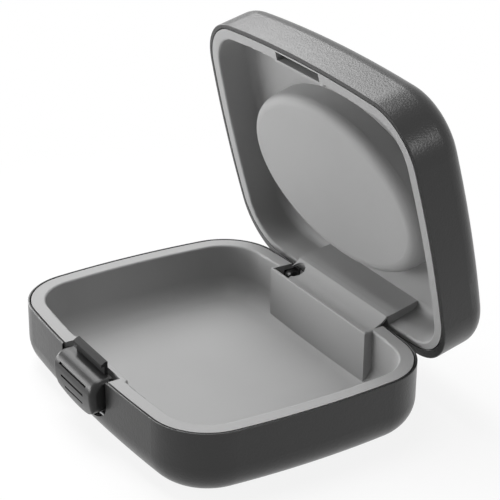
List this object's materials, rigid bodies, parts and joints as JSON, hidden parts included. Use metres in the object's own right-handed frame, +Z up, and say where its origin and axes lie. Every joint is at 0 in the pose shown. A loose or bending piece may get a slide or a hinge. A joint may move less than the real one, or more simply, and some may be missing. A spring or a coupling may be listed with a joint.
{
  "type": "hearing aid case",
  "caption": "Hinged hard case for hearing aids: black bowed shells, grey liners, an oval boss in the lid, a sprung lid and a press button latch in front.",
  "frame": {"origin": "middle of the flat face the case rests on", "axes": "+X along the hinge, +Y towards the hinge side, +Z up; the latch button is at -Y and the lid stands open"},
  "size_m": [0.08, 0.0783, 0.0747],
  "materials": {
    "black_shell": "fine moulded grain, satin",
    "grey_liner": "smooth, matte",
    "black_button": "polished",
    "dark_lever": "smooth, matte",
    "steel_pin": "ground",
    "spring_wire": "drawn wire"
  },
  "bodies": {
    "base": {"base_shell": "black_shell", "base_liner": "grey_liner", "hinge_pin": "steel_pin", "lid_spring": "spring_wire", "latch_pin": "steel_pin", "latch_spring": "spring_wire"},
    "lid": {"lid_shell": "black_shell", "lid_liner": "grey_liner"},
    "latch": {"latch_button": "black_button", "latch_lever": "dark_lever"}
  },
  "joints": [
    {"name": "lid_hinge", "type": "hinge", "parent": "base", "child": "lid", "pos_m": [0, 0.02975, 0.0122], "axis": [1, 0, 0], "range_deg": [0, 76.1], "stiffness_Nm_per_rad": 0.006, "springref_deg": -28.65, "deforming": ["lid_spring"]},
    {"name": "latch_press", "type": "hinge", "parent": "base", "child": "latch", "pos_m": [0, -0.0306, 0.0066], "axis": [-1, 0, 0], "range_deg": [0, 4.6], "stiffness_Nm_per_rad": 0.25, "springref_deg": -5.73, "deforming": ["latch_spring"]}
  ]
}
